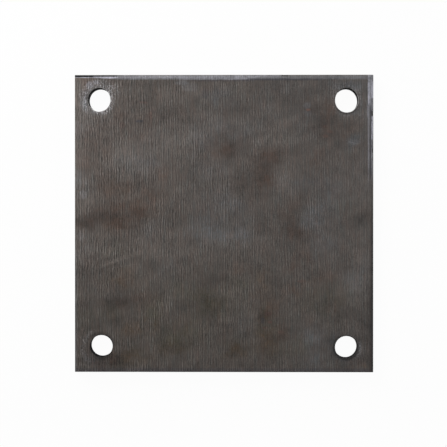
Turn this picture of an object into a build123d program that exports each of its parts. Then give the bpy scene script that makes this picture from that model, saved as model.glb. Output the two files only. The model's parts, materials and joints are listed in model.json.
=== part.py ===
from build123d import *
import os

# A cover plate in hot-rolled steel, guillotined on all four sides and drilled near its four corners.
# The plate lies on its back face. The origin is the middle of that face, X runs across the plate,
# Y runs up it, and +Z points out of the front face.

# Plate, in millimetres
plate_width = 203.2  # along X, over the lands of the two side cuts
plate_height = 202.4  # along Y, over the lands of the two end cuts
plate_thickness = 9.525  # 3/8 in plate

# Sheared sides. Each cut has a rolled corner where the blade came in, a burnished land beside it,
# and a rough break that leans in from the land to the burr on the other face.
rollover_depth = 1.0  # drop of the rolled corner from its face to the land
side_rollover_width = 3.0  # its reach across the face, on the two side cuts
end_rollover_width = 2.6  # its reach across the face, on the two end cuts
land_depth = 2.4  # height of the burnished land
break_lean = 0.65  # how far the break has leaned in where it meets the far face

# Corner holes
hole_diameter = 15.875  # 5/8 in, drilled right through
hole_inset_x = 18.1  # from the land of a side cut to the middle of a hole
hole_inset_y = 17.7  # from the land of an end cut to the middle of a hole
rim_break = 0.3  # deburring chamfer on both rims of a hole

hole_spacing_x = plate_width - 2 * hole_inset_x
hole_spacing_y = plate_height - 2 * hole_inset_y

# Planes of the two sections, at half the plate's thickness
middle = (0, 0, plate_thickness / 2)
section_across = Plane(origin=middle, x_dir=(1, 0, 0), z_dir=(0, -1, 0))
section_along = Plane(origin=middle, x_dir=(0, 1, 0), z_dir=(1, 0, 0))


def sheared_section(length, rollover_width):
    """The section of the plate, square to two opposite cuts, with its middle at the origin.

    One end rolls over at the front face. The other is the same end turned half a turn, because
    each stroke of the blade rolls the front corner of one piece and the back corner of the next.
    """
    end = length / 2
    face = plate_thickness / 2
    land_top = face - rollover_depth
    roll_centre = (end - rollover_width, land_top)
    with BuildSketch() as section:
        with BuildLine() as outline:
            roll = EllipticalCenterArc(roll_centre, rollover_width, rollover_depth, arc_size=90)
            land = Line(roll @ 0, (end, land_top - land_depth))
            Line(land @ 1, (end - break_lean, -face))
            Line(roll @ 1, (break_lean - end, face))
            add([edge.rotate(Axis.Z, 180) for edge in outline.edges()])
        make_face()
    return section.sketch


with BuildPart() as cover_plate:
    # The strip, sheared on both sides and still longer than the plate
    with BuildSketch(section_across):
        add(sheared_section(plate_width, side_rollover_width))
    extrude(amount=plate_height, both=True)

    # Cut to length: the plate is what the strip and the section across it have in common
    with BuildSketch(section_along):
        add(sheared_section(plate_height, end_rollover_width))
    extrude(amount=plate_width, both=True, mode=Mode.INTERSECT)

    # Four corner holes, deburred on both faces
    with Locations((0, 0, plate_thickness)):
        with GridLocations(hole_spacing_x, hole_spacing_y, 2, 2):
            Hole(hole_diameter / 2)
    chamfer(cover_plate.edges().filter_by(GeomType.CIRCLE), rim_break)

cover_plate.part.label = "cover_plate"

os.makedirs("parts", exist_ok=True)
export_step(cover_plate.part, "parts/cover_plate.step")
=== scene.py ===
"""A hot-rolled steel cover plate, guillotined on four sides and drilled at its corners, on a pale floor.

The CAD solid gives the plate's size, holes and sheared edges. This script stands a denser mesh of the same
form in its place, with the nicks and the rough breaks of the cut sides, and paints it with mill scale,
rolling grain, rust, flaked edges and corners with scuffs. It also paints light and shade into the colours:
highlights and shade along the rolled edges, highlights and shade round the holes' rims, dark hole walls in
painted shade, and a face lighter towards the upper left and darker towards the bottom. Lengths in the
shaping code are in millimetres, until the mesh is made.
"""
import json
import math

import bpy
import numpy as np
from mathutils import Matrix, Vector


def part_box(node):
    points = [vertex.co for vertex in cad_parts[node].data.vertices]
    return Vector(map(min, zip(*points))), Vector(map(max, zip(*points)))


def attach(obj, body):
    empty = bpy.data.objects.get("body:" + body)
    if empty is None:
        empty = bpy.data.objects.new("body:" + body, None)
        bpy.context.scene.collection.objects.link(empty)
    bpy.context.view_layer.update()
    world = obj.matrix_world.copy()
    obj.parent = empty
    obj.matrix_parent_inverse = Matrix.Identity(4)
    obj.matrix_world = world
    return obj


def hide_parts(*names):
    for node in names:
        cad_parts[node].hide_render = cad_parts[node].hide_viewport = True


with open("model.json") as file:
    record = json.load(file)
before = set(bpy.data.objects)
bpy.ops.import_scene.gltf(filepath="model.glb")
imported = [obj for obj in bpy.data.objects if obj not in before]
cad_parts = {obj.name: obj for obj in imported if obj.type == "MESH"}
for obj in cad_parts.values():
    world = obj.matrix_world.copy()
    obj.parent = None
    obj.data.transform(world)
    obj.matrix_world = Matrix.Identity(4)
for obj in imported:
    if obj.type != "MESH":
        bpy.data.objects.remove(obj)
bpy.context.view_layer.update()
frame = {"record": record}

MM = 0.001
NODE = "cover_plate"

# The plate, from the frame
plate_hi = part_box(NODE)[1]
HALF_X = plate_hi.x / MM
HALF_Y = plate_hi.y / MM
THICK = plate_hi.z / MM
holes = next(m for m in frame["record"]["mounts"] if m["name"] == "corner_holes")["dims"]
HOLE_R = holes["hole_r_mm"]
HOLE_X = holes["spacing_x_mm"] / 2
HOLE_Y = holes["spacing_y_mm"] / 2

# The sheared edges, as in the solid
ROLL_DEPTH = 1.0
ROLL_X = 3.0
ROLL_Y = 2.6
LAND = 2.4
LEAN = 0.65
RIM = 0.3
LAND_BOTTOM = THICK - ROLL_DEPTH - LAND

# How finely the mesh is cut
CELL = 1.3  # grid spacing on the faces
PATCH = 11.0  # half side of the square round each hole
PATCH_CELLS = 16  # along one side of that square
ROLL_CELLS = 8  # across a rolled corner
RING_CELLS = 8  # from the square to the rim
RIM_CELLS = 2
BORE_CELLS = 8
BREAK_CELLS = 11  # down the broken part of a sheared side
LAND_CELLS = 4
RING_EASE = 1.3  # above 1, the rings are closer near the rim
SQUEEZE = 6.0  # how far in from an edge the grid follows its lean

# The table of random values behind each cloud
TABLE = 64
TABLE_SHIFT = 200  # keeps the places looked up above 0


# ---------------- values that vary over the plate


def smooth(value, low, high):
    """0 below low, 1 above high, and a smooth step between."""
    s = np.clip((value - low) / (high - low), 0, 1)
    return s * s * (3 - 2 * s)


def cloud(x, y, size, seed):
    """Smooth random values from -1 to 1, with features about size across."""
    table = np.random.RandomState(seed).uniform(-1, 1, (TABLE, TABLE))
    u, v = x / size + TABLE_SHIFT, y / size + TABLE_SHIFT
    i, j = np.floor(u).astype(int), np.floor(v).astype(int)
    s, t = smooth(u - i, 0, 1), smooth(v - j, 0, 1)
    i0, i1, j0, j1 = i % TABLE, (i + 1) % TABLE, j % TABLE, (j + 1) % TABLE
    low = table[i0, j0] * (1 - s) + table[i1, j0] * s
    high = table[i0, j1] * (1 - s) + table[i1, j1] * s
    return low * (1 - t) + high * t


# ---------------- the plate's form


def plan_lines(half, roll, hole):
    """Nominal places of the grid lines across one axis: fine on the rolled corners, even elsewhere."""
    turn = np.linspace(0, math.pi / 2, ROLL_CELLS + 1)
    corner = half - roll + roll * np.sin(turn)
    patch = np.linspace(hole - PATCH, hole + PATCH, PATCH_CELLS + 1)
    rim_gap = corner[0] - patch[-1]
    edge = np.linspace(patch[-1], corner[0], max(2, round(rim_gap / CELL)) + 1)
    side = np.concatenate([patch, edge[1:], corner[1:]])
    middle = np.linspace(-patch[0], patch[0], round(2 * patch[0] / CELL) + 1)
    return np.concatenate([-side[::-1], middle[1:-1], side])


def drop(position, half, roll):
    """How far the rolled corner at +half lies below its face."""
    s = np.clip((position - half + roll) / roll, 0, 1)
    return ROLL_DEPTH * (1 - np.sqrt(1 - s * s))


def reach(z, half):
    """Outer limit, at height z, of the side whose rolled corner is at the front face."""
    return half - LEAN * np.clip(1 - z / LAND_BOTTOM, 0, 1)


def squeeze(position, z, half):
    """Moves the grid's outer lines to the plate's true limits at height z."""
    high = reach(z, half) - half
    low = half - reach(THICK - z, half)
    near_high = np.clip(1 - (half - position) / SQUEEZE, 0, 1)
    near_low = np.clip(1 - (half + position) / SQUEEZE, 0, 1)
    return position + high * near_high + low * near_low


class PlateMesh:
    """Collects the plate's points and faces. Points are kept by nominal plan place and height."""

    FACE, SIDE, BORE = range(3)

    def __init__(self):
        self.points, self.faces, self.kinds = [], [], []
        self.count = 0

    def add(self, x, y, z):
        """Adds points from equal arrays and returns their numbers in the same layout."""
        x, y, z = np.broadcast_arrays(x, y, z)
        self.points.append(np.stack([x.ravel(), y.ravel(), z.ravel()], 1))
        numbers = np.arange(self.count, self.count + x.size).reshape(x.shape)
        self.count += x.size
        return numbers

    def skin(self, rows, kind, keep=None):
        """Quads between neighbouring rows and columns of point numbers."""
        quads = np.stack([rows[:-1, :-1], rows[1:, :-1], rows[1:, 1:], rows[:-1, 1:]], -1)
        quads = quads[keep] if keep is not None else quads.reshape(-1, 4)
        self.faces.append(quads)
        self.kinds.append(np.full(len(quads), kind))


def square_loop(i0, j0):
    """Grid numbers round the square patch that starts at (i0, j0), anticlockwise."""
    n = PATCH_CELLS
    steps = range(n)
    loop = [(i0 + k, j0) for k in steps] + [(i0 + n, j0 + k) for k in steps]
    loop += [(i0 + n - k, j0 + n) for k in steps] + [(i0, j0 + n - k) for k in steps]
    return np.array(loop)


def outer_loop(nx, ny):
    """Grid numbers round the whole grid, anticlockwise."""
    loop = [(i, 0) for i in range(nx - 1)] + [(nx - 1, j) for j in range(ny - 1)]
    loop += [(i, ny - 1) for i in range(nx - 1, 0, -1)] + [(0, j) for j in range(ny - 1, 0, -1)]
    return np.array(loop)


def build_plate():
    """The whole skin of the plate as one closed mesh, on the solid's own surfaces."""
    mesh = PlateMesh()
    xs, ys = plan_lines(HALF_X, ROLL_X, HOLE_X), plan_lines(HALF_Y, ROLL_Y, HOLE_Y)
    x, y = np.meshgrid(xs, ys, indexing="ij")
    top_z = THICK - np.maximum(drop(x, HALF_X, ROLL_X), drop(y, HALF_Y, ROLL_Y))
    low_z = np.maximum(drop(-x, HALF_X, ROLL_X), drop(-y, HALF_Y, ROLL_Y))
    top, low = mesh.add(x, y, top_z), mesh.add(x, y, low_z)

    mid_x, mid_y = (xs[1:] + xs[:-1]) / 2, (ys[1:] + ys[:-1]) / 2
    in_x, in_y = (np.abs(np.abs(m) - c) < PATCH for m, c in ((mid_x, HOLE_X), (mid_y, HOLE_Y)))
    solid = ~(in_x[:, None] & in_y[None, :])
    mesh.skin(top, mesh.FACE, solid)
    mesh.skin(low[::-1], mesh.FACE, solid[::-1])

    add_sides(mesh, xs, ys, top, low, top_z, low_z)
    for cx in (-HOLE_X, HOLE_X):
        for cy in (-HOLE_Y, HOLE_Y):
            start = [int(np.argmin(np.abs(line - c + PATCH))) for line, c in ((xs, cx), (ys, cy))]
            add_hole(mesh, cx, cy, square_loop(*start), xs, ys, top, low)
    return mesh


def add_sides(mesh, xs, ys, top, low, top_z, low_z):
    """The four sheared sides, from the front face's outer line down to the back face's."""
    i, j = outer_loop(len(xs), len(ys)).T
    last_x, last_y = len(xs) - 1, len(ys) - 1
    rolled = (i == last_x) | (j == last_y)
    corner = ((i == 0) | (i == last_x)) & ((j == 0) | (j == last_y))
    tall = LAND + LAND_BOTTOM
    land, broken = np.linspace(0, LAND, LAND_CELLS + 1), np.linspace(LAND, tall, BREAK_CELLS + 1)
    down = np.concatenate([land, broken[1:]]) / tall
    even = np.linspace(0, 1, len(down))
    share = np.where(rolled[:, None], down, 1 - down[::-1])
    share = np.where(corner[:, None], even, share)
    z = top_z[i, j][:, None] * (1 - share) + low_z[i, j][:, None] * share
    inner = mesh.add(xs[i][:, None], ys[j][:, None], z[:, 1:-1])
    columns = np.concatenate([top[i, j][:, None], inner, low[i, j][:, None]], 1)
    mesh.skin(np.concatenate([columns, columns[:1]])[::-1], mesh.SIDE)


def add_hole(mesh, cx, cy, loop, xs, ys, top, low):
    """The rings that lead from one square gap in both grids to the rim, and the bore between the rims."""
    i, j = loop.T
    around = math.radians(225) + 2 * math.pi * np.arange(len(i)) / len(i)
    circle = np.cos(around), np.sin(around)

    def ring(r, z, s=1.0):
        """Points round the hole's axis, or the share s of the way to them from the square's edge."""
        x = xs[i] * (1 - s) + (cx + r * circle[0]) * s
        y = ys[j] * (1 - s) + (cy + r * circle[1]) * s
        return mesh.add(x, y, z)

    shares = [1 - (1 - k / RING_CELLS) ** RING_EASE for k in range(1, RING_CELLS + 1)]
    front = [top[i, j], *(ring(HOLE_R + RIM, THICK, s) for s in shares)]
    back = [low[i, j], *(ring(HOLE_R + RIM, 0.0, s) for s in shares)]
    cuts = [RIM * k / RIM_CELLS for k in range(1, RIM_CELLS + 1)]
    depths = [RIM + (THICK - 2 * RIM) * k / BORE_CELLS for k in range(1, BORE_CELLS)]
    profile = [(HOLE_R + RIM - cut, THICK - cut) for cut in cuts]
    profile += [(HOLE_R, THICK - depth) for depth in depths]
    profile += [(HOLE_R + RIM - cut, cut) for cut in cuts[::-1]]
    bore = [ring(r, z) for r, z in profile]

    def closed(rows):
        """The rows side by side, with the first column again at the end."""
        rows = np.stack(rows, 1)
        return np.concatenate([rows, rows[:1]])

    mesh.skin(closed(front), mesh.FACE)
    mesh.skin(closed([front[-1], *bore, back[-1]]), mesh.BORE)
    mesh.skin(closed(back[::-1]), mesh.FACE)


# ---------------- wear that has a shape

# Nicks in the edges: x, y, reach and depth
NICKS = [
    (HALF_X, 74.6, 1.9, 0.16),
    (HALF_X, 49.6, 1.2, 0.12),
    (HALF_X, 3, 1.4, 0.08),
    (41.5, HALF_Y, 1.6, 0.10),
    (-HALF_X, 31, 1.5, 0.10),
    (-58, -HALF_Y, 1.7, 0.10),
    (22, -HALF_Y, 1.4, 0.08),
]

# Shallow dents in the front face: x, y, radius and depth
DENTS = [
    (-91, 92, 3.2, 0.16),
    (-78, 95, 2.4, 0.12),
    (-95.5, 76, 2.6, 0.12),
    (-92, -78, 2.6, 0.10),
    (30, 66, 2.8, 0.08),
    (-14, -34, 3, 0.07),
    (66, -22, 2.4, 0.08),
]

# How far each corner of the plate is worn round: signs of x and y, and radius
CORNERS = [(-1, 1, 0.5), (1, 1, 0.6), (1, -1, 0.3), (-1, -1, 1.3)]

# How far the drill's wander leaves each hole from round: signs of x and y, the share of the full width and
# height that is left, and how far its middle moves at the front face
OVALS = [
    (-1, 1, 0.965, 1.01, -1.0, 0.85),
    (1, 1, 0.99, 1.045, 0.0, 0.38),
    (-1, -1, 0.96, 0.935, 0.5, 0.5),
    (1, -1, 0.965, 0.965, -0.2, -0.2),
]

HOLE_LEAN = 0.2  # the share of a hole's move that is lost at the back face
NICK_IN = 0.3  # how far a nick cuts in and down, in its depths
NICK_DOWN = 3.0
BREAK_ROUGHNESS = 0.16
LAND_SCORING = 0.035
FACE_WAVES = 0.035
WAVE_SIZE = 23.0
ON_FACE = 0.4  # points this close to a face's plane belong to the face


def falloff(distance, radius):
    """1 at no distance, easing to 0 at radius."""
    return np.clip(1 - (distance / radius) ** 2, 0, None) ** 2


def roughen_sides(x, y, z, flat_x, flat_y):
    """Tears the broken part of each side and scores its land, always inwards."""
    on_x, on_y = np.abs(np.abs(flat_x) - HALF_X) < 1e-6, np.abs(np.abs(flat_y) - HALF_Y) < 1e-6
    for mask, along, across, seed in ((on_x, y, x, 11), (on_y, x, y, 17)):
        rolled_front = across > 0
        depth = np.where(rolled_front, THICK - z, z) - ROLL_DEPTH
        in_break = smooth(depth, LAND - 0.4, LAND + 0.8)
        to_burr = smooth(THICK - ROLL_DEPTH - depth, 0, 0.9)
        fine, coarse = cloud(along, z * 0.5, 1.7, seed), cloud(along, z * 0.7, 4.0, seed + 1)
        torn = 0.55 + 0.3 * fine + 0.35 * coarse
        scored = 0.5 + 0.5 * cloud(along, z * 0.1, 1.4, seed + 2)
        inward = in_break * to_burr * BREAK_ROUGHNESS * torn
        inward += (1 - in_break) * smooth(depth, 0, 0.5) * LAND_SCORING * scored
        amount = np.where(mask, inward, 0) * np.sign(across)
        if across is x:
            x = x - amount
        else:
            y = y - amount
    return x, y


def wear(x, y, z, flat_x, flat_y):
    """The plate's points after years in a rack: worn corners, nicks, dents and holes a little off round."""
    x, y = roughen_sides(x, y, z, flat_x, flat_y)
    for sx, sy, radius in CORNERS:
        u, v = HALF_X - sx * x, HALF_Y - sy * y
        out = np.hypot(radius - u, radius - v)
        inside = (u < radius) & (v < radius) & (out > radius)
        pull = np.where(inside, radius / np.maximum(out, 1e-9), 1)
        x = np.where(inside, sx * (HALF_X - radius + (radius - u) * pull), x)
        y = np.where(inside, sy * (HALF_Y - radius + (radius - v) * pull), y)
    for sx, sy, wide, high, over, up in OVALS:
        dx, dy = x - sx * HOLE_X, y - sy * HOLE_Y
        near = 1 - smooth(np.hypot(dx, dy) - HOLE_R, 0.4, 2.4)
        moved = 1 - HOLE_LEAN + HOLE_LEAN * z / THICK
        x = x - near * ((1 - wide) * dx - moved * over)
        y = y - near * ((1 - high) * dy - moved * up)
    front = smooth(z, THICK * 0.45, THICK * 0.75)
    for nx, ny, radius, depth in NICKS:
        near = falloff(np.hypot(x - nx, y - ny), radius) * front * depth
        if abs(nx) > abs(ny):
            x = x - NICK_IN * near * np.sign(nx)
        else:
            y = y - NICK_IN * near * np.sign(ny)
        z = z - NICK_DOWN * near
    for dx, dy, radius, depth in DENTS:
        z = z - falloff(np.hypot(x - dx, y - dy), radius) * np.where(z > THICK / 2, depth, 0)
    wave = FACE_WAVES * (0.5 + 0.5 * cloud(x, y, WAVE_SIZE, 5))
    wave = wave * smooth(HALF_X - np.abs(x), 1, 6) * smooth(HALF_Y - np.abs(y), 1, 6)
    return x, y, z - np.where(z > THICK - ON_FACE, wave, 0) + np.where(z < ON_FACE, wave, 0)


# ---------------- stains, as values on the points

# Each stain is x, y, half width, half height and strength, seen from the front
RUST = [
    (-55, 9, 8, 5, 1.2), (-70, -2, 9, 5, 1.1), (-76, 8, 7, 4, 0.7), (-80, 22, 7, 6, 0.8),
    (-66, 26, 7, 5, 0.5), (-48, 20, 6, 5, 0.5), (-86, 3, 9, 5, 0.6), (-98, 0, 6, 5, 0.5),
    (-62, 14, 6, 5, 0.4), (-50, 72, 6, 7, 0.6), (-68, 72, 7, 6, 0.6), (-56, 63, 6, 4, 0.4),
    (-31, 73, 7, 5, 0.3), (-84, 64, 7, 6, 0.4), (-92, 52, 7, 8, 0.5), (-79, 50, 6, 6, 0.3),
    (-92, 40, 5, 6, 0.4), (-43, 34, 5, 6, 0.5), (-52, 22, 6, 4, 0.4), (0, 48, 8, 7, 0.35),
    (8, 52, 7, 7, 0.35), (35, 47, 7, 6, 0.9), (27, 32, 6, 9, 1.1), (13, 28, 7, 6, 0.35),
    (20, 18, 7, 6, 0.15), (73, 76, 7, 8, 0.5), (68, 62, 7, 8, 0.45), (84, 62, 5, 5, 0.4),
    (62, 44, 7, 5, 0.4), (50, -7, 8, 5, 0.9), (44, 3, 5, 8, 0.4), (51, 13, 5, 4, 0.5), (56, -22, 8, 6, 0.4),
    (47, -29, 5, 5, 0.5), (48, -46, 7, 5, 0.6), (69, -35, 6, 5, 0.6), (58, -41, 6, 5, 0.3),
    (12, -29, 8, 4, 0.4), (20, -50, 5, 6, 0.3), (34, -56, 5, 7, 0.5), (3, -70, 5, 5, 0.3),
    (38, -73, 5, 4, 0.6), (77, -57, 6, 5, 0.3), (-95, 96, 4, 5, 0.5), (-20, -33, 9, 4, 0.2),
    (-55, -52, 6, 4, 0.8), (-69, -53, 6, 4, 0.7), (90, -90, 8, 6, 0.4), (-74, -91, 6, 6, 0.6),
    (-3, 50, 12, 8, 0.3), (-90, 58, 8, 6, 0.15), (66, 80, 6, 9, 0.3), (-69, 8, 7, 7, 0.7),
    (-78, 3, 8, 5, 0.4), (-78, 30, 6, 5, 0.4), (-84, -95, 8, 4, 0.9), (59, -69, 6, 5, 0.25),
    (-94, -88, 5, 5, 0.4), (-92, -74, 5, 5, 0.3), (-81, 95, 5, 3, 0.3), (-10, 12, 6, 6, 0.2),
]
ORANGE = [
    (27, -39, 5, 7, 0.8), (29, -60, 6, 7, 1), (29, -80, 7, 7, 1), (7, -85, 8, 5, 0.9),
    (-69, -38, 8, 5, 0.8), (-64, -72, 6, 5, 0.7), (-61, -91, 9, 5, 0.8), (-50, -68, 6, 7, 0.5),
    (-66, 24, 5, 6, 0.3), (-71, -1, 7, 5, 0.6), (-54, 8, 6, 5, 0.4), (96, -97, 3, 3, 0.5),
    (-35, -84, 8, 5, 0.5), (-26, -70, 7, 5, 0.3), (-8, -54, 8, 6, 0.3),
]
OLIVE = [
    (-49, -60, 6, 8, 0.7), (-34, -79, 9, 7, 0.9), (8, -84, 9, 5, 0.6), (-30, -45, 9, 6, 0.4),
    (52, -84, 8, 7, 0.3), (-76, -60, 8, 6, 0.4), (-10, -54, 13, 8, 0.8), (-20, -72, 9, 6, 0.5),
    (-92, -66, 7, 9, 0.3), (-68, -90, 12, 7, 0.5), (30, -72, 6, 8, 0.4), (10, -40, 9, 6, 0.3),
    (-74, -17, 8, 5, 0.3), (70, -53, 14, 11, 0.5), (84, 10, 8, 8, 0.2), (0, -55, 90, 32, 0.12),
    (36, -86, 12, 8, 0.25),
]
BLUE = [
    (-10, -7, 12, 6, 0.8), (13, -5, 9, 8, 0.8), (2, 12, 12, 8, 0.65), (-14, 3, 10, 7, 0.5),
    (61, 4, 7, 8, 0.7), (69, 9, 8, 7, 0.6), (68, -13, 8, 10, 0.5), (55, 27, 8, 5, 0.5), (72, 24, 9, 8, 0.5),
    (88, 55, 6, 3.5, 1.2), (-2, 67, 6, 6, 0.4), (-3, 86, 8, 6, 0.6), (30, 79, 7, 8, 0.3),
    (55, 70, 7, 13, 0.4), (-56, 42, 14, 9, 0.5), (-97, 33, 6, 14, 0.4), (-97, -13, 6, 8, 0.4),
    (12, 62, 12, 12, 0.4), (-13, 62, 12, 12, 0.25), (-45, 62, 20, 11, 0.2), (-88, 62, 12, 12, 0.25),
    (-10, -12, 16, 12, 0.2), (97, -30, 4, 10, 0.4), (94, 74, 5, 7, 0.5), (-97, 62, 5, 8, 0.3),
    (97, 43, 4, 10, 0.3), (80, 12, 8, 8, 0.25), (-15, 58, 8, 9, 0.5), (62, -76, 7, 8, 0.8),
    (-50, -5, 9, 9, 0.3), (-38, -30, 6, 10, 0.3), (13, -68, 6, 7, 0.3), (88, -40, 9, 8, 0.6),
    (88, -82, 8, 7, 0.5), (-88, 84, 6, 8, 0.4), (84, 94, 12, 6, 1), (84, 30, 14, 18, 0.1),
    (61, -91, 7, 9, 0.8), (0, 87, 7, 7, 0.4), (38, 26, 8, 7, 0.3), (-8, 38, 16, 8, 0.45),
    (-12, 20, 14, 8, 0.2), (40, 93, 18, 5, 0.3),
]
# Broad lighter (+) and darker (-) areas of the scale. Besides the scale's own tone they hold painted light
# and shade: the face is lighter towards the upper left and darker towards the bottom.
TONE = [
    (-66, 46, 18, 14, 1.2), (-36, 56, 12, 8, 0.7), (-18, 62, 12, 9, 0.6), (-2, 72, 12, 8, 0.3),
    (-46, -16, 12, 9, 0.6), (-77, -17, 13, 6, 0.5), (-97, -12, 6, 9, 1), (-98, 14, 6, 9, 1),
    (-98, 38, 6, 12, 1.5), (3, -9, 22, 8, 0.8), (-2, 12, 14, 8, 0.3), (42, 27, 9, 10, 1),
    (24, 60, 9, 8, 0.6), (40, 60, 9, 8, 0.6), (84, 32, 9, 10, 0.5), (62, 6, 7, 8, 0.6), (79, 12, 9, 7, 0.4),
    (86, -41, 12, 9, 1.2), (-88, 78, 9, 10, 0.5), (-99, 88, 4.5, 16, 1.6), (-98, 60, 5, 14, 1.1),
    (-84, 62, 13, 9, 0.4), (-40, 88, 18, 6, 0.5), (-5, 36, 9, 6, 0.4), (20, -62, 6, 9, 0.6),
    (68, -15, 9, 12, 0.5), (-98, -40, 4, 12, 0.5), (94, 30, 5, 24, 0.5), (94, -18, 5, 14, 0.5),
    (-34, 22, 10, 10, 0.4), (-62, -32, 12, 5, 0.4), (62, -76, 8, 7, 0.5), (-24, -20, 12, 7, 0.4),
    (5, 51, 11, 7, -0.8), (27, 31, 7, 11, -0.95), (12, 27, 7, 9, -0.6), (36, 46, 7, 7, -0.9),
    (50, -6, 9, 6, -0.9), (40, 6, 8, 10, -0.4), (-10, -55, 14, 7, -1), (-6, -38, 12, 5, -0.5),
    (-73, -53, 13, 8, -0.9), (-70, -64, 18, 9, -0.35), (28, -62, 6, 9, -0.8), (70, -53, 9, 8, -0.4),
    (90, 2, 8, 7, -0.5), (64, 76, 6, 13, -0.8), (74, 66, 8, 10, -0.6), (92, 64, 6, 9, -0.4),
    (-35, -82, 10, 6, -0.7), (7, -85, 9, 5, -0.7), (30, -82, 9, 7, -0.8), (-72, -92, 10, 6, -1.4),
    (-90, -92, 10, 7, -0.4), (46, 84, 8, 6, -0.5), (15, 78, 16, 6, -0.3), (72, 92, 8, 7, -0.25),
    (-34, 74, 9, 5, -0.4), (-66, 72, 8, 6, -0.3), (-76, 2, 18, 6, -0.85), (-96, 1, 7, 5, -1.1),
    (-55, 9, 7, 5, -1.1), (-70, -3, 7, 4, -0.5), (-16, 20, 12, 7, 0.15), (-52, 26, 8, 6, -0.4),
    (56, -30, 10, 8, -0.5), (44, -70, 9, 10, -0.4), (-84, 56, 6, 6, -0.3), (66, 45, 7, 6, -0.4),
    (-48, 84, 9, 7, -0.4), (-49, 30, 10, 16, 0.35), (27, 24, 9, 8, 0.2), (-87, 27, 8, 7, 0.25),
    # The two strips 60 mm wide at the end of the next line are painted shade, darker towards the bottom
    (-10, 8, 8, 7, 0.2), (66, 0, 8, 12, -0.22), (-30, -70, 60, 9, -0.25), (10, -90, 60, 7, -0.15),
    (-88, -88, 12, 9, -0.3), (-44, -68, 9, 7, -0.2), (-70, -30, 10, 6, -0.15), (38, -40, 14, 10, -0.12),
    (8, -47, 7, 7, 0.2), (80, -70, 10, 8, -0.3), (-84, -86, 13, 11, -0.3), (-67, 84, 7, 9, -0.2),
    (84, -84, 12, 12, -0.15), (98, -66, 4, 24, -0.6), (-60, -78, 9, 9, -0.15), (-94, -62, 8, 12, -0.12),
    (-84, -12, 9, 7, 0.2), (-50, 90, 10, 8, -0.5), (61, -91, 6, 8, 0.3), (-10, 50, 10, 10, 0.25),
    (84, -8, 8, 12, 0.12), (12, -10, 9, 9, 0.12), (-38, 47, 9, 8, 0.12), (30, 52, 10, 8, 0.2),
    (30, 72, 10, 9, -0.25), (-51, 12, 10, 9, 0.25), (10, -32, 10, 9, 0.22), (10, -51, 10, 10, 0.26),
    (91, -28, 9, 9, 0.25), (50, -72, 10, 9, 0.25), (71, 0, 9, 16, -0.2), (-71, -30, 10, 8, -0.2),
    # The last two strips on the next line are also painted shade, darker towards the bottom
    (-91, -72, 9, 10, -0.25), (71, -84, 9, 12, -0.2), (0, -97, 60, 5, -0.3), (60, -92, 30, 8, -0.2),
    (28, -62, 6, 8, -0.5), (-98, 26, 5, 8, 0.5), (-90, -11, 6, 6, 0.4), (92, 76, 5, 6, 0.6),
    (-97, -73, 4, 6, 0.4), (-62, -92, 8, 5, -0.35), (-53, 1, 6, 4, 0.4), (97, -45, 4, 8, 0.45),
    (-81, 72, 6, 5, -0.3), (12, -70, 7, 6, -0.3), (-27, 35, 7, 7, 0.25), (34, -27, 7, 7, -0.4),
    (78, 96, 5, 4, -0.3), (97, 31, 4, 9, -0.5), (78, -97, 9, 4, -0.5), (-98, 50, 5, 7, -0.4),
    (-43, -17, 6, 5, 0.35), (-71, 89, 6, 5, 0.4), (63, 56, 6, 6, -0.35), (71, -80, 5, 5, -0.25),
    (36, -5, 6, 6, -0.3), (26, 59, 6, 5, -0.3), (-98, 28, 4, 6, 0.3), (3, -60, 6, 5, 0.35),
    (23, 45, 5, 5, 0.3), (-88, -45, 5, 5, -0.3),
]
STAINS = {"rust": RUST, "orange": ORANGE, "olive": OLIVE, "blue": BLUE}
MOST_STAIN = 1.2  # as strong as stains that overlap may get
BACK_SEED = 400  # the first seed of the back face's stains

# Bright scuffs beside the holes, some of them painted highlights where the rims catch the light, and cool
# dark smudges of bluish stain and painted shade: the hole's corner, middle direction in degrees, half
# spread in degrees, distance from the hole's edge, half width and strength
SCUFFS_AND_RIM_HIGHLIGHTS = [
    # Painted rim highlights: the upper left hole's at 0 and 285 degrees, upper right's at 60, lower right's
    ((-1, 1), 0, 90, 0.5, 1.2, 1.5),
    ((-1, 1), 122, 55, 3.2, 3.2, 0.95),
    ((-1, 1), 60, 40, 3.0, 3.5, 0.7),
    ((-1, 1), 185, 38, 3.1, 2.0, 1.0),
    ((-1, 1), 285, 60, 0.5, 1.3, 1.1),
    ((1, 1), 95, 80, 2.6, 2.4, 0.28),
    ((1, 1), 185, 60, 1.3, 0.9, 0.3),
    ((1, 1), -80, 60, 2.0, 0.8, 0.35),
    ((1, 1), 60, 60, 0.9, 0.8, 0.45),
    ((1, 1), 15, 40, 1.6, 1.0, 0.35),
    ((-1, -1), 150, 40, 3.6, 1.5, 0.4),
    ((-1, -1), 205, 30, 4.6, 1.4, 0.35),
    ((1, -1), -20, 40, 1.5, 0.6, 0.8),
]
# Cool dark patches beside the holes: a bluish stain, and painted shade where they darken the tone
SMUDGES_AND_SHADE = [
    ((-1, 1), 185, 30, 3.0, 2.6, 0.9),
    ((1, 1), -60, 70, 1.5, 1.6, 0.6),
    ((-1, -1), 250, 50, 3.0, 3.0, 0.9),
    ((1, -1), 270, 110, 1.0, 1.6, 0.9),
    ((1, -1), 300, 60, 3.4, 2.0, 0.5),
    ((1, -1), 175, 60, 3.0, 2.2, 0.7),
]
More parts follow.
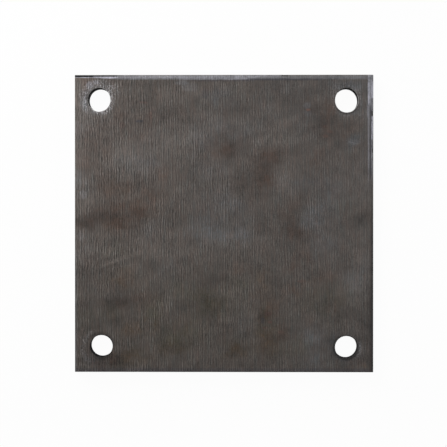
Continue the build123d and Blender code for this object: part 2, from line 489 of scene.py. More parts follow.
# Painted shade close round the holes' edges, where the rims fall dark, in the same terms
RIM_SHADE = [
    ((-1, -1), 60, 70, 0.2, 1.0, 1.0),
    ((-1, -1), 250, 60, 0.4, 0.9, 0.5),
    ((-1, -1), 100, 70, 1.5, 0.9, 0.45),
    ((-1, -1), 10, 60, 0.3, 0.8, 0.5),
    ((1, -1), 240, 140, 0.3, 0.9, 1.0),
    ((1, -1), 185, 60, 0.8, 1.0, 0.6),
    ((1, 1), -90, 60, 0.4, 0.9, 0.8),
    ((1, 1), 60, 50, 0.2, 0.6, 0.6),
]


def warped(x, y):
    """The place that each point takes its stains from, which gives them wispy, ragged outlines."""
    for size, sway, seed in ((14.0, 2.4, 31), (6.5, 2.6, 33), (3.2, 1.6, 35)):
        x = x + 1.3 * sway * cloud(x * 0.7, y, size, seed)
        y = y + 0.8 * sway * cloud(x * 0.7, y, size, seed + 1)
    return x, y


def painted(stains, x, y):
    """The strength at each point of all the stains together."""
    total = np.zeros_like(x)
    for sx, sy, width, height, strength in stains:
        total += strength * np.exp(-((x - sx) / width) ** 2 - ((y - sy) / height) ** 2)
    return total


def around_holes(marks, x, y):
    """The strength at each point of the strongest of the marks beside the holes."""
    total = np.zeros_like(x)
    for (sx, sy), middle, spread, distance, width, strength in marks:
        dx, dy = x - sx * HOLE_X, y - sy * HOLE_Y
        turn = (np.degrees(np.arctan2(dy, dx)) - middle + 180) % 360 - 180
        away = np.hypot(dx, dy) - HOLE_R - distance
        total = np.maximum(total, strength * np.exp(-((turn / spread) ** 4) - (away / width) ** 2))
    return total


def stain_masks(x, y, z):
    """What each point of the scale shows: the strength of each stain, of the scuffs and painted rim
    highlights, and how light it is.
    """
    front = z > THICK / 2
    there = warped(x, y)
    masks = {}
    for number, (name, stains) in enumerate(STAINS.items()):
        seen = painted(stains, *there)
        unseen = smooth(cloud(x, y, 15.0, BACK_SEED + number), 0.35, 0.9)
        masks[name] = np.clip(np.where(front, seen, unseen), 0, MOST_STAIN)
    # The cool patches tint the scale bluish here, and darken it below as painted shade
    smudges_and_shade = np.where(front, around_holes(SMUDGES_AND_SHADE, x, y), 0)
    masks["blue"] = np.clip(masks["blue"] + smudges_and_shade, 0, MOST_STAIN)
    masks["scuff"] = around_holes(SCUFFS_AND_RIM_HIGHLIGHTS, x, y) * np.where(front, 1, 0.3)
    unseen = 0.8 * cloud(x, y, 24.0, BACK_SEED + 9)
    slant = x * 0.94 + y * 0.34, y * 0.94 - x * 0.34
    wisps = 0.28 * cloud(slant[0] * 0.4, slant[1], 4.5, 43) + 0.34 * cloud(x, y, 6.0, 41)
    masks["tone"] = np.where(front, painted(TONE, *there), unseen) + wisps + 0.2 * cloud(x, y, 3.0, 42)
    # Painted shade round the holes: darker beside them with the smudges, and close round the rims
    masks["tone"] -= 0.4 * smudges_and_shade + np.where(front, 2.2 * around_holes(RIM_SHADE, x, y), 0)
    return masks


# ---------------- the piece


def add_object(name, data):
    """A new object in the scene."""
    thing = bpy.data.objects.new(name, data)
    bpy.context.collection.objects.link(thing)
    return thing


def make_piece():
    """The plate as one object, with what its points show kept on them for the materials."""
    mesh = build_plate()
    points = np.concatenate(mesh.points)
    used, faces = np.unique(np.concatenate(mesh.faces), return_inverse=True)
    faces = faces.reshape(-1, 4)
    flat_x, flat_y, z = points[used].T
    x, y = squeeze(flat_x, z, HALF_X), squeeze(flat_y, z, HALF_Y)
    masks = stain_masks(x, y, z)
    x, y, z = wear(x, y, z, flat_x, flat_y)

    data = bpy.data.meshes.new("steel_plate")
    data.from_pydata((np.stack([x, y, z], 1) * MM).tolist(), [], faces.tolist())
    for name, values in masks.items():
        layer = data.attributes.new(name, "FLOAT", "POINT")
        layer.data.foreach_set("value", values.astype(np.float32))
    data.polygons.foreach_set("material_index", np.concatenate(mesh.kinds).astype(np.int32))
    data.polygons.foreach_set("use_smooth", np.ones(len(faces), bool))
    data.set_sharp_from_angle(angle=math.radians(35))
    data.update()
    return add_object("steel_plate", data)


# ---------------- materials


class Nodes:
    """Adds nodes to one tree. Every method but put and feed gives back the new node's output."""

    def __init__(self, tree):
        self.tree = tree

    def put(self, kind, settings=None, **values):
        """A new node. Each value goes to the input of that name, as a number, a colour or a link."""
        node = self.tree.nodes.new("ShaderNode" + kind)
        for key, value in (settings or {}).items():
            setattr(node, key, value)
        for key, value in values.items():
            self.feed(node.inputs[key.replace("_", " ")], value)
        return node

    def feed(self, socket, value):
        if isinstance(value, bpy.types.NodeSocket):
            self.tree.links.new(value, socket)
        elif socket.type == "VECTOR":
            socket.default_value = value[:3]
        else:
            socket.default_value = value

    def math(self, operation, *values, clamp=False):
        node = self.put("Math", {"operation": operation, "use_clamp": clamp})
        for socket, value in zip(node.inputs, values):
            self.feed(socket, value)
        return node.outputs[0]


class Shader(Nodes):
    """Builds one material. Places are in millimetres."""

    def __init__(self, name):
        self.material = bpy.data.materials.new(name)
        self.material.use_nodes = True
        super().__init__(self.material.node_tree)
        self.surface = self.tree.nodes["Principled BSDF"]
        self.place = self.vector("SCALE", self.put("TexCoord").outputs["Object"], scale=1 / MM)
        parts = self.put("SeparateXYZ", Vector=self.place).outputs
        self.x, self.y, self.z = parts["X"], parts["Y"], parts["Z"]

    def add(self, *values):
        total = values[0]
        for value in values[1:]:
            total = self.math("ADD", total, value)
        return total

    def times(self, *values):
        total = values[0]
        for value in values[1:]:
            total = self.math("MULTIPLY", total, value)
        return total

    def vector(self, operation, a, b=None, scale=None):
        node = self.put("VectorMath", {"operation": operation})
        self.feed(node.inputs[0], a)
        if b is not None:
            self.feed(node.inputs[1], b)
        if scale is not None:
            self.feed(node.inputs["Scale"], scale)
        return node.outputs[0]

    def minus(self, a, b):
        return self.math("SUBTRACT", a, b)

    def choose(self, share, a, b):
        """a where share is 1, and b where it is 0."""
        return self.add(self.times(share, a), self.times(self.minus(1.0, share), b))

    def on_front(self):
        return self.math("GREATER_THAN", self.z, THICK / 2)

    def noise(self, size, detail=2.0, roughness=0.5, shift=0.0):
        """Random values about 0.5, with features of the given size in mm, or one size for each axis."""
        size = size if isinstance(size, tuple) else (size,) * 3
        scaled = self.vector("MULTIPLY", self.place, tuple(1 / s for s in size))
        moved = self.vector("ADD", scaled, (shift, shift * 1.7, shift * 0.6))
        node = self.put("TexNoise", Vector=moved, Scale=1.0, Detail=detail, Roughness=roughness)
        return node.outputs["Fac"]

    def stray(self, *sizes, **values):
        """Random values like those of noise, but about 0."""
        return self.add(self.noise(*sizes, **values), -0.5)

    def step(self, value, low, high, to=(0.0, 1.0)):
        """A smooth step from to[0], where value is at most low, to to[1], where it is at least high."""
        node = self.put("MapRange", {"interpolation_type": "SMOOTHSTEP"}, Value=value,
                        From_Min=low, From_Max=high, To_Min=to[0], To_Max=to[1])
        return node.outputs["Result"]

    def mask(self, name):
        """What stain_masks kept on the points."""
        return self.put("Attribute", {"attribute_name": name}).outputs["Fac"]

    def mix(self, share, a, b):
        node = self.put("Mix", {"data_type": "RGBA"})
        for number, value in ((0, share), (6, a), (7, b)):
            self.feed(node.inputs[number], value)
        return node.outputs[2]

    def band(self, distance, stops):
        """Colour and cover across an edge, from stops of distance, colour and cover."""
        node = self.put("ValToRGB", Fac=self.math("DIVIDE", distance, BAND_REACH))
        marks = node.color_ramp.elements
        for number, (place, colour, cover) in enumerate(stops):
            mark = marks[number] if number < 2 else marks.new(place / BAND_REACH)
            mark.position = place / BAND_REACH
            mark.color = (*colour[:3], cover)
        return node.outputs["Color"], node.outputs["Alpha"]

    def bump(self, height, depth):
        """A normal from heights of 0 to 1, where 1 is depth millimetres."""
        return self.put("Bump", Height=height, Distance=depth * MM, Strength=1.0).outputs["Normal"]

    def finish(self, colour, rough, metal, specular, normal):
        """Gives the surface its looks and returns the material."""
        names = "Base Color", "Roughness", "Metallic", "Specular IOR Level", "Normal"
        for name, value in zip(names, (colour, rough, metal, specular, normal)):
            self.feed(self.surface.inputs[name], value)
        return self.material


def rgb(red, green, blue):
    return (red, green, blue, 1.0)


WARM_SCALE = rgb(0.0785, 0.0668, 0.0595)
COOL_SCALE = rgb(0.0786, 0.0682, 0.0622)
STAIN_TINTS = {
    "blue": rgb(0.079, 0.079, 0.082),
    "olive": rgb(0.062, 0.057, 0.040),
    "orange": rgb(0.085, 0.058, 0.038),
    "rust": rgb(0.080, 0.052, 0.040),
}
# Grey added along the grain's crests
CREST_GREY = rgb(0.030, 0.0305, 0.031)
# Bright flakes of the scuffs, and the painted rim highlights
FLAKED_AND_HIGHLIGHT = rgb(0.36, 0.355, 0.37)
# The bare rim's steel, which is also painted highlight at the upper holes
BARE_AND_HIGHLIGHT = rgb(0.50, 0.49, 0.48)
# A painted dark line of shade along the top edge's left end
BLACK = rgb(0.008, 0.008, 0.009)
LAND_STEEL = rgb(0.155, 0.148, 0.142)
BREAK_STEEL = rgb(0.022, 0.019, 0.018)
BREAK_RUST = rgb(0.075, 0.040, 0.024)
# Near black: the bore's steel darkened with painted shade
BORE_STEEL_AND_SHADE = rgb(0.012, 0.011, 0.011)
NAVY = rgb(0.028, 0.028, 0.040)
# COOL and LILAC: flaked scale, lighter still on the rolled edges as painted highlight
COOL = rgb(0.150, 0.152, 0.164)
LILAC = rgb(0.235, 0.232, 0.258)
# A painted highlight on the rolled top and right edges
PALE = rgb(0.52, 0.52, 0.60)
UMBER = rgb(0.014, 0.012, 0.012)

# Bands along the edges of the front face: where the scale has cracked off the rolled steel, with painted
# highlights where the rolled top and right edges face the light, and a painted dark line of shade at the
# top edge's left end. Darker lines run along the rolled edges' inner side, and darker bands along the
# lower right, left and bottom edges and in the nicks. Each has its start and end, how far it takes to
# come and go, how patchy it is, and its colours across the edge, as distance from the edge, colour and
# cover.
TOP_BANDS = [
    (-72, 24, 7, 6, 0.8,
     [(0, COOL, 0.3), (0.6, COOL, 0.8), (1.5, LILAC, 0.82), (2.8, COOL, 0.9), (3.5, COOL, 0)]),
    (24, 108, 6, 40, 0.5,
     [(0, COOL, 0.25), (0.7, COOL, 0.35), (1.6, COOL, 0.7), (2.8, COOL, 0.6), (3.6, COOL, 0)]),
    (22, 39, 5, 5, 0.5, [(0, LILAC, 0.5), (1.2, LILAC, 0.6), (2.4, COOL, 0.6), (3.2, COOL, 0)]),
    (-30, 16, 8, 8, 1.0, [(0.9, LILAC, 0), (1.8, LILAC, 0.4), (2.9, LILAC, 0.6), (3.7, LILAC, 0)]),
    (16, 66, 12, 22, 0.6, [(2.4, NAVY, 0), (3.0, NAVY, 0.8), (3.6, NAVY, 0.4), (4.3, NAVY, 0)]),
    (-22, 22, 10, 10, 0.8, [(3.3, NAVY, 0), (3.9, NAVY, 0.5), (4.3, NAVY, 0.3), (4.9, NAVY, 0)]),
    # Painted highlights along the top edge's left end
    (-86, -72, 8, 5, 0.3, [(0.9, PALE, 0), (1.4, PALE, 0.9), (2.0, PALE, 0.8), (2.6, PALE, 0)]),
    (-112, -86, 4, 8, 0.5, [(1.2, PALE, 0), (1.7, PALE, 0.75), (2.2, PALE, 0)]),
    # A painted dark line of shade along the top edge's left end
    (-112, -84.5, 4, 8, 0.0, [(0, BLACK, 1), (1.4, BLACK, 1), (1.8, BLACK, 0)]),
    (-84, -71, 3, 6, 0.3, [(0, BLACK, 0.8), (0.9, BLACK, 0.7), (1.3, BLACK, 0)]),
    (39.4, 43.6, 0.8, 0.8, 0.0, [(0, UMBER, 0.9), (0.8, UMBER, 0.9), (1.5, UMBER, 0)]),
]
RIGHT_BANDS = [
    (83, 112, 8, 4, 0.5,
     [(0, COOL, 0.8), (0.5, LILAC, 0.8), (2.4, COOL, 0.9), (3.4, LILAC, 1), (4.2, LILAC, 0)]),
    # A painted highlight on the rolled right edge
    (83, 96, 4, 5, 0.6,
     [(0, PALE, 0.8), (0.8, PALE, 0.55), (2.2, LILAC, 0.6), (3.3, PALE, 0.5), (4.0, PALE, 0)]),
    (76, 84, 4, 5, 0.3, [(0, LILAC, 0.7), (0.6, LILAC, 0.85), (2.4, LILAC, 0.7), (3.4, LILAC, 0)]),
    (73, 82, 4, 4, 0.3, [(3.3, LILAC, 0), (3.9, LILAC, 0.6), (4.3, LILAC, 0.5), (4.8, LILAC, 0)]),
    (34, 84, 30, 5, 0.5,
     [(0, COOL, 0.2), (1.0, COOL, 0.7), (2.5, COOL, 0.4), (3.5, LILAC, 0.75), (4.2, COOL, 0)]),
    (32, 80, 16, 5, 0.6, [(0.2, LILAC, 0), (0.6, LILAC, 0.7), (1.1, LILAC, 0.7), (1.5, LILAC, 0)]),
    # A painted highlight on the rolled right edge
    (60, 74, 5, 5, 0.5, [(0.2, PALE, 0), (0.6, PALE, 0.7), (1.2, PALE, 0.7), (1.5, PALE, 0)]),
    (30, 80, 12, 3, 0.6, [(1.4, NAVY, 0), (1.7, NAVY, 0.8), (2.1, NAVY, 0.7), (2.5, NAVY, 0)]),
    (-112, -42, 4, 10, 0.2, [(0, UMBER, 0.5), (1.4, UMBER, 0.5), (3.4, UMBER, 0.3), (4.8, UMBER, 0)]),
    (-112, 8, 4, 44, 0.2, [(0, UMBER, 1.0), (0.8, UMBER, 0.9), (1.5, UMBER, 0.5), (2.4, UMBER, 0)]),
    (73.0, 76.6, 1, 1, 0.0, [(0.2, UMBER, 0.5), (0.7, UMBER, 1), (1.4, UMBER, 0.7), (2.0, UMBER, 0)]),
    (48.2, 51.2, 0.8, 0.8, 0.0, [(0, UMBER, 1), (0.7, UMBER, 1), (1.1, UMBER, 0)]),
]
LEFT_BANDS = [
    (-112, -20, 4, 60, 0.4, [(0.6, UMBER, 1), (1.1, UMBER, 0.6), (1.6, COOL, 0.25), (2.4, COOL, 0)]),
]
BOTTOM_BANDS = [
    (-112, 112, 4, 4, 0.2,
     [(0.6, UMBER, 1), (1.2, UMBER, 0.7), (1.8, NAVY, 0.4), (2.8, NAVY, 0.3), (3.6, NAVY, 0)]),
]
BAND_REACH = 5.0  # every band ends within this distance of its edge

# Specks on the front face: x, y, half width, half height, colour and cover
EMBER = rgb(0.26, 0.115, 0.075)
BRICK = rgb(0.100, 0.062, 0.052)
SOOT = rgb(0.030, 0.032, 0.042)
ASH = rgb(0.155, 0.155, 0.165)
SPECKS = [
    (57.4, 77.3, 1.9, 1.1, EMBER, 0.5), (56.6, 80.4, 3, 2.6, ASH, 0.35), (57, 75.4, 3.4, 2.8, ASH, 0.25),
    (-91, 94.4, 2.6, 2.8, LILAC, 0.45), (-86.6, 96.2, 2.4, 1.6, LILAC, 0.4),
    (68.6, 66, 1.6, 1.3, BRICK, 0.5), (69.2, 59.5, 2.2, 1.4, BRICK, 0.7), (72, 62.5, 2.6, 1.2, BRICK, 0.5),
    (-57, 69.8, 3.6, 1, SOOT, 0.6), (-54.5, 82.5, 3.6, 0.9, BRICK, 0.5), (-49.5, 74, 1.1, 3.4, BRICK, 0.45),
    (-68.6, 67, 2.2, 2.6, BRICK, 0.35), (30, -61, 2.6, 1.6, BRICK, 0.85),
    (26.6, -65.5, 1.5, 2.6, SOOT, 0.45), (31.6, -66.5, 1.6, 1.2, BRICK, 0.85),
    (28, -70.5, 2.6, 1, BRICK, 0.5), (53.2, -38.8, 4, 1.2, BRICK, 0.4), (38.5, -73.5, 2.2, 1.6, BRICK, 0.5),
    (88, 55.6, 5.6, 2.4, ASH, 0.25), (-28, 96, 6, 2, ASH, 0.4), (-20, 93, 2.6, 4, ASH, 0.2),
    (-25, 93, 4, 3.4, ASH, 0.25), (-95.5, 20, 3, 3.6, ASH, 0.24), (-97, -8, 2, 4, ASH, 0.16),
    (-12.5, 88.5, 3, 4.6, SOOT, 0.25),
]

# Scratches: x and y of the middle, length, direction in degrees, width, bend and strength
SCRATCHES = [
    (-96, -78.5, 9, -48, 0.45, 0.02, 0.8), (-96, -74, 7, 80, 0.4, 0, 0.5),
    (-95.6, -72.6, 5, -43, 0.4, 0.05, 0.5), (-97, -88, 8, 75, 0.4, 0.02, 0.35),
    (93, -87, 7, 60, 0.45, -0.12, 0.7), (94.5, -82, 5, 85, 0.35, 0, 0.4), (-60, -36, 22, 14, 0.5, 0, 0.35),
    (-70, -29, 26, 10, 0.5, 0.002, 0.30), (-45, -22, 20, 12, 0.45, 0, 0.25),
    (-69, -23.4, 36, 18, 2.2, 0, 0.34), (-78, -27, 16, 24, 1.5, 0, 0.35), (-63, -12, 16, 70, 0.5, 0, 0.25),
    (-61.5, 82, 9, 60, 0.4, 0.05, 0.4), (-56, 78, 8, 20, 0.4, -0.06, 0.4),
    (-76, 72, 12, 62, 0.4, 0.01, 0.35), (-67, 62, 14, 55, 0.4, 0.01, 0.30),
    (-95, 50, 7, 35, 0.45, 0.05, 0.45), (-97, 57, 5, -40, 0.45, 0.05, 0.4),
    (90.5, 72, 6, 48, 0.45, 0.03, 0.5), (94, 70, 5, 60, 0.4, 0.03, 0.4), (40, 58, 10, -62, 0.4, 0.01, 0.35),
    (88, 55, 9, -12, 0.45, 0.01, 0.4),
]

# Sets of grain lines: spacing, length, share and seed
GRAIN_LINES = [(1.42, 3.0, 1.0, 2.0), (1.68, 4.2, 1.0, 5.0), (2.0, 3.0, 0.7, 8.0), (2.8, 3.0, 0.42, 14.0)]
GRAIN_WANDER = 3.0  # how much the lines stray sideways
GRAIN_STRENGTH = 0.57

TINGE = (0.33, -0.04, -0.16)  # how much fine lines of the scale vary in red, green and blue
SPECULAR = 0.25
BORE_SPECULAR = 0.03
SIDE_REACH = 0.9  # points this close to HALF_X are on the left or right side
# The holes' painted light and shade change over within MIDDLE of the plate's middle
MIDDLE = 10.0  # the looks of the holes change over within this distance of the plate's middle


def grain(shader):
    """The rolling grain: fine, slightly wavy lines up the plate, each a few millimetres long. About 0."""
    lines = []
    for period, length, share, seed in GRAIN_LINES:
        wander = shader.stray((8, 15, 9), 2, 0.5, shift=seed)
        place = shader.math("MULTIPLY_ADD", wander, GRAIN_WANDER, shader.x)
        wave = shader.math("SINE", shader.times(place, 2 * math.pi / period))
        strength = shader.step(shader.noise((2.2, length, 4), 1, shift=seed + 20), 0.35, 0.72)
        lines.append(shader.times(wave, strength, share))
    streaks = shader.times(shader.add(*lines), GRAIN_STRENGTH)
    sharper = shader.times(streaks, streaks)
    return shader.math("MULTIPLY_ADD", sharper, 0.35, shader.math("MAXIMUM", streaks, -0.6))


def scratches(shader):
    """The scratches of the front face, about 0."""
    total = 0.0
    ragged = shader.step(shader.noise(1.6, 2), 0.35, 0.6)
    for x, y, length, turn, width, bend, strength in SCRATCHES:
        cos, sin = math.cos(math.radians(turn)), math.sin(math.radians(turn))
        dx, dy = shader.add(shader.x, -x), shader.add(shader.y, -y)
        along = shader.add(shader.times(dx, cos), shader.times(dy, sin))
        bent = shader.times(along, along, bend)
        across = shader.add(shader.times(dy, cos), shader.times(dx, -sin), bent)
        thin = shader.step(shader.math("ABSOLUTE", across), width * 0.3, width, (strength, 0))
        inside = shader.step(shader.math("ABSOLUTE", along), length * 0.35, length * 0.5, (1, 0))
        total = shader.math("MULTIPLY_ADD", thin, inside, total)
    return shader.times(total, ragged, shader.on_front())


def stained(shader, colour):
    """Lays the stains over the colour, with ragged outlines."""
    ragged = shader.times(
        shader.step(shader.noise(5, 3, 0.6, shift=11), 0.3, 0.7, (0.4, 1.05)),
        shader.step(shader.noise(1.4, 2, 0.6, shift=15), 0.35, 0.65, (0.65, 1.2)),
    )
    for name, tint in STAIN_TINTS.items():
        share = shader.math("MULTIPLY", shader.mask(name), ragged, clamp=True)
        colour = shader.mix(share, colour, tint)
    return colour


def tinged(shader, colour):
    """Turns fine lines of the scale a little redder or greener."""
    tinge = shader.stray((1.2, 9, 1.2), 2, 0.6, shift=71)
    red, green, blue = (shader.math("MULTIPLY_ADD", tinge, amount, 1) for amount in TINGE)
    shares = shader.put("CombineXYZ", X=red, Y=green, Z=blue).outputs[0]
    return shader.vector("MULTIPLY", colour, shares)


def speckled(shader, colour):
    """Lays the small specks of the front face over the colour."""
    front = shader.on_front()
    ragged = shader.times(shader.stray(1.1, 2, 0.6, shift=81), 1.6)
    for x, y, wide, high, tint, cover in SPECKS:
        dx = shader.times(shader.add(shader.x, -x), 1 / wide)
        dy = shader.times(shader.add(shader.y, -y), 1 / high)
        away = shader.add(shader.times(dx, dx), shader.times(dy, dy), ragged)
        share = shader.times(shader.step(away, 0.3, 1.1, (cover, 0)), front)
        colour = shader.mix(share, colour, tint)
    return colour


def edge_bands(shader, colour):
    """Lays the bands of the four edges over the colour of the front face, with their painted highlights and
    shade.
    """
    front = shader.on_front()
    wobble = shader.times(shader.stray(6, 3, 0.6, shift=31), 1.1)
    ragged = shader.times(shader.stray(5, 3, 0.6, shift=37), 16)
    gaps = shader.step(shader.noise((1.8, 1.4, 9), 3, 0.6, shift=41), 0.3, 0.56, (-0.6, 0.08))
    for along, side, half, bands in (
        (shader.y, shader.times(shader.x, -1), HALF_X, LEFT_BANDS),
        (shader.x, shader.times(shader.y, -1), HALF_Y, BOTTOM_BANDS),
        (shader.x, shader.y, HALF_Y, TOP_BANDS),
        (shader.y, shader.x, HALF_X, RIGHT_BANDS),
    ):
        distance = shader.minus(half, side)
        wavering = shader.math("MAXIMUM", shader.add(distance, wobble), 0)
        for start, end, rise, fall, worn, stops in bands:
            moved = shader.add(along, ragged) if min(rise, fall) > 2 else along
            here = shader.times(
                shader.step(moved, start - rise / 2, start + rise / 2),
                shader.step(moved, end - fall / 2, end + fall / 2, (1, 0)),
            )
            from_edge = distance if stops[0][0] == 0 else wavering
            tint, cover = shader.band(from_edge, stops)
            left = shader.math("MULTIPLY_ADD", gaps, worn, 1)
            colour = shader.mix(shader.times(here, cover, front, left), colour, tint)
    return colour


def scuffed_and_highlit(shader, colour):
    """Lays the bright flecks of the scuffs and painted rim highlights over the colour, and gives back their
    cover too.
    """
    flecks = shader.step(shader.noise((1, 1.4, 1), 3, 0.65, shift=51), 0.47, 0.68)
    cover = shader.times(shader.mask("scuff"), shader.add(shader.times(flecks, 0.85), 0.12))
    return shader.mix(cover, colour, FLAKED_AND_HIGHLIGHT), cover


def mill_scale():
    """The two faces and the rolled corners, with all that lies on them."""
    shader = Shader("mill_scale")
    tone = shader.mask("tone")
    streaks = grain(shader)
    patchy = shader.step(shader.noise(19, 2), 0.36, 0.62, (0.7, 1.2))
    from_rolls = shader.math("MINIMUM", shader.minus(HALF_X, shader.x), shader.minus(HALF_Y, shader.y))
    off_rolls = shader.step(from_rolls, 2, 4, (0.45, 1))
    from_left = shader.step(shader.x, -105, 80, (1.2, 0.65))
    dulled = shader.step(tone, -1.2, 0.4, (0.35, 1.1))
    speckle = shader.stray((0.8, 1, 0.8), 3, 0.6)
    mottle = shader.stray((9, 6, 9), 3, 0.55, shift=3)
    blotch = shader.stray((2.6, 3.4, 2.6), 2, 0.5, shift=61)

    colour = shader.mix(shader.step(shader.x, -20, 90), WARM_SCALE, COOL_SCALE)
    colour = speckled(shader, tinged(shader, stained(shader, colour)))
    colour, bared_and_highlit = scuffed_and_highlit(shader, edge_bands(shader, colour))

    strength = shader.times(patchy, from_left, dulled, off_rolls)
    crests = shader.times(shader.math("MAXIMUM", streaks, 0), strength)
    hollows = shader.times(shader.math("MINIMUM", streaks, 0), strength)
    light = shader.add(
        1,
        shader.times(crests, 0.3),
        hollows,
        shader.times(tone, 0.37),
        shader.times(mottle, 0.30),
        shader.times(blotch, patchy, 0.55),
        shader.times(speckle, shader.math("MULTIPLY_ADD", shader.mask("scuff"), 1.6, patchy), 1.05),
        scratches(shader),
    )
    colour = shader.vector("SCALE", colour, scale=shader.math("MAXIMUM", light, 0.15))
    colour = shader.vector("ADD", colour, shader.vector("SCALE", CREST_GREY, scale=crests))

    # Rougher under the painted dark line of shade at the top edge's left end, so that it shows no sheen
    black_band_end = shader.step(shader.x, -76, -70, (0.45, 0))
    black_band_rough = shader.times(black_band_end, shader.step(shader.y, HALF_Y - 2.4, HALF_Y - 1.4))
    rough = shader.add(
        0.52, shader.times(mottle, 0.2), shader.times(streaks, -0.1), shader.times(bared_and_highlit, -0.12), black_band_rough
    )
    height = shader.add(0.5, shader.times(streaks, 0.3), shader.times(speckle, 0.25))
    return shader.finish(colour, rough, 0.1, SPECULAR, shader.bump(height, 0.03))


def sheared_steel():
    """The cut sides: a burnished land below the rolled edge and a dark, torn break below that."""
    shader = Shader("sheared_steel")
    sideways = shader.math("GREATER_THAN", shader.math("ABSOLUTE", shader.x), HALF_X - SIDE_REACH)
    rolled_front = shader.math("GREATER_THAN", shader.choose(sideways, shader.x, shader.y), 0)
    depth = shader.choose(rolled_front, shader.minus(THICK, shader.z), shader.z)
    land_end = shader.add(ROLL_DEPTH + LAND, shader.times(shader.stray(3, 3, 0.6), 1.4))
    torn = shader.step(shader.minus(depth, land_end), -0.25, 0.25)
    speckle = shader.stray(0.8, 3, 0.65)
    scores = shader.stray((0.7, 0.7, 7), 2, 0.6, shift=9)
    rusty = shader.step(shader.noise((9, 9, 3), 3, 0.6, shift=4), 0.52, 0.72)

    land = shader.vector("SCALE", LAND_STEEL, scale=shader.add(1, shader.times(scores, 1.5)))
    broken = shader.vector("SCALE", BREAK_STEEL, scale=shader.add(1, shader.times(speckle, 1.4)))
    broken = shader.mix(shader.times(rusty, 0.6), broken, BREAK_RUST)
    colour = shader.mix(torn, land, broken)
    rough = shader.add(0.36, shader.times(torn, 0.28), shader.times(speckle, 0.2))
    metal = shader.step(torn, 0, 1, (0.6, 0.1))
    height = shader.choose(torn, speckle, shader.times(scores, 0.35))
    return shader.finish(colour, rough, metal, SPECULAR, shader.bump(height, 0.14))


def bored_steel():
    """The drilled holes: dark walls with fine rings in painted shade, and a bare rim with a painted
    highlight at the upper holes.
    """
    shader = Shader("bored_steel")
    rings = shader.noise((9, 9, 0.28), 1)
    # Painted light and shade: the walls are lighter at the upper holes and at the right ones
    wall_light_up = shader.step(shader.y, -MIDDLE, MIDDLE, (0.1, 2.4))
    wall_light_right = shader.step(shader.x, -MIDDLE, MIDDLE, (0, 1.6))
    wall_light = shader.add(wall_light_up, wall_light_right)
    shade = shader.times(wall_light, shader.step(rings, 0.3, 0.7, (0.6, 1.4)))
    wall = shader.vector("SCALE", BORE_STEEL_AND_SHADE, scale=shade)
    # The bare rim, patchy, and painted highlight: bright at the upper holes, less so at the right ones
    on_rim = shader.step(shader.z, THICK - RIM - 0.1, THICK - RIM + 0.05)
    worn = shader.step(shader.noise(2, 3), 0.3, 0.6, (0.3, 1))
    upper = shader.step(shader.y, -MIDDLE, MIDDLE, (0.08, 1))
    left = shader.step(shader.x, -MIDDLE, MIDDLE, (1, 0.6))
    colour = shader.mix(shader.times(on_rim, worn, upper, left), wall, BARE_AND_HIGHLIGHT)
    return shader.finish(colour, 0.85, 0.0, BORE_SPECULAR, shader.bump(rings, 0.04))


# ---------------- floor, light and camera

FLOOR_HALF = 6.0  # in metres, like the next
FLOOR_DROP = 0.0003
FLOOR_WHITE = 0.965  # how much of what is seen of the floor is plain white
KEY_POWER = 9.05
FILL_SHARE = 0.22  # of the key light's power
WORLD_LIGHT = 0.16
CAMERA_HEIGHT = 784.0  # above the front face
CAMERA_X, CAMERA_Y = 9.0, 4.0
AIM_X, AIM_Y = 0.0, 0.3
FRAME_WIDTH = 303.3  # at the front face
SENSOR = 36.0


def seen_white(tree, shade, share):
    """Mixes plain white into shade by share, for the rays that show a background."""
    nodes = Nodes(tree)
    path = nodes.put("LightPath").outputs
    seen = path["Is Camera Ray"]
    for name in ("Is Glossy Ray", "Is Transmission Ray"):
        seen = nodes.math("MAXIMUM", seen, path[name])
    kind = "Background" if shade.node.type == "BACKGROUND" else "Emission"
    white = nodes.put(kind, Color=rgb(1, 1, 1)).outputs[0]
    mixed = nodes.put("MixShader")
    for socket, value in zip(mixed.inputs, (nodes.math("MULTIPLY", seen, share), shade, white)):
        nodes.feed(socket, value)
    return mixed.outputs[0]


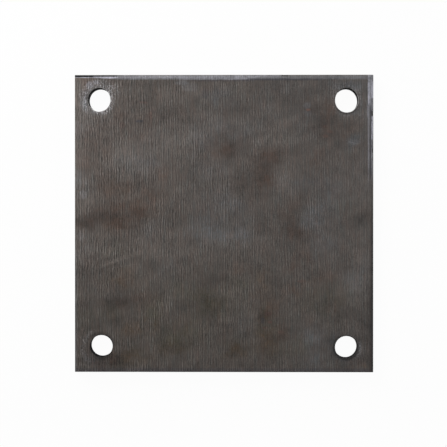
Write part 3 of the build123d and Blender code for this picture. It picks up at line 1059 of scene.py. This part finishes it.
def make_floor():
    """A pale floor just under the plate, which looks nearly white but keeps the plate's shadow."""
    data = bpy.data.meshes.new("floor")
    signs = (-1, -1), (1, -1), (1, 1), (-1, 1)
    corners = [(sx * FLOOR_HALF, sy * FLOOR_HALF, -FLOOR_DROP) for sx, sy in signs]
    data.from_pydata(corners, [], [(0, 1, 2, 3)])
    floor = add_object("floor", data)
    material = bpy.data.materials.new("pale_floor")
    material.use_nodes = True
    tree = material.node_tree
    surface = tree.nodes["Principled BSDF"]
    surface.inputs["Base Color"].default_value = rgb(0.82, 0.82, 0.82)
    surface.inputs["Roughness"].default_value = 0.9
    output = tree.nodes["Material Output"]
    tree.links.new(seen_white(tree, surface.outputs[0], FLOOR_WHITE), output.inputs["Surface"])
    data.materials.append(material)


def make_world():
    """Even, soft light from all round, seen as plain white."""
    world = bpy.data.worlds.new("studio")
    world.use_nodes = True
    tree = world.node_tree
    tree.nodes.clear()
    nodes = Nodes(tree)
    plain = nodes.put("Background", Color=rgb(1, 1, 1), Strength=WORLD_LIGHT)
    nodes.put("OutputWorld", Surface=seen_white(tree, plain.outputs[0], 1.0))
    bpy.context.scene.world = world


def aim(thing, place, target, up):
    """Stands thing at place, looking at target, with its top as near to the direction up as can be."""
    back = (Vector(place) - Vector(target)).normalized()
    right = Vector(up).cross(back).normalized()
    thing.location = place
    thing.rotation_mode = "QUATERNION"
    thing.rotation_quaternion = Matrix((right, back.cross(right), back)).transposed().to_quaternion()


def make_lights():
    """A large soft key light from the upper left and a weaker one from the right."""
    for name, place, size, power in (
        ("key", (-0.42, 0.60, 0.48), 0.7, KEY_POWER),
        ("fill", (0.90, 0.25, 0.60), 0.8, KEY_POWER * FILL_SHARE),
    ):
        data = bpy.data.lights.new(name, "AREA")
        data.size = size
        data.energy = power
        aim(add_object(name, data), place, (0, 0, 0), (0, 0, 1))


def make_camera():
    """Looks down at the plate from a little to the right of its middle and above it."""
    data = bpy.data.cameras.new("camera")
    data.sensor_width = SENSOR
    data.lens = SENSOR * CAMERA_HEIGHT / FRAME_WIDTH
    camera = add_object("camera", data)
    place = (CAMERA_X * MM, CAMERA_Y * MM, (THICK + CAMERA_HEIGHT) * MM)
    aim(camera, place, (AIM_X * MM, AIM_Y * MM, THICK * MM), (0, 1, 0))
    bpy.context.scene.camera = camera


piece = make_piece()
for material in (mill_scale(), sheared_steel(), bored_steel()):
    piece.data.materials.append(material)
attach(piece, "root")
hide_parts(NODE)

make_floor()
make_world()
make_lights()
make_camera()
bpy.context.scene.view_settings.view_transform = "Standard"
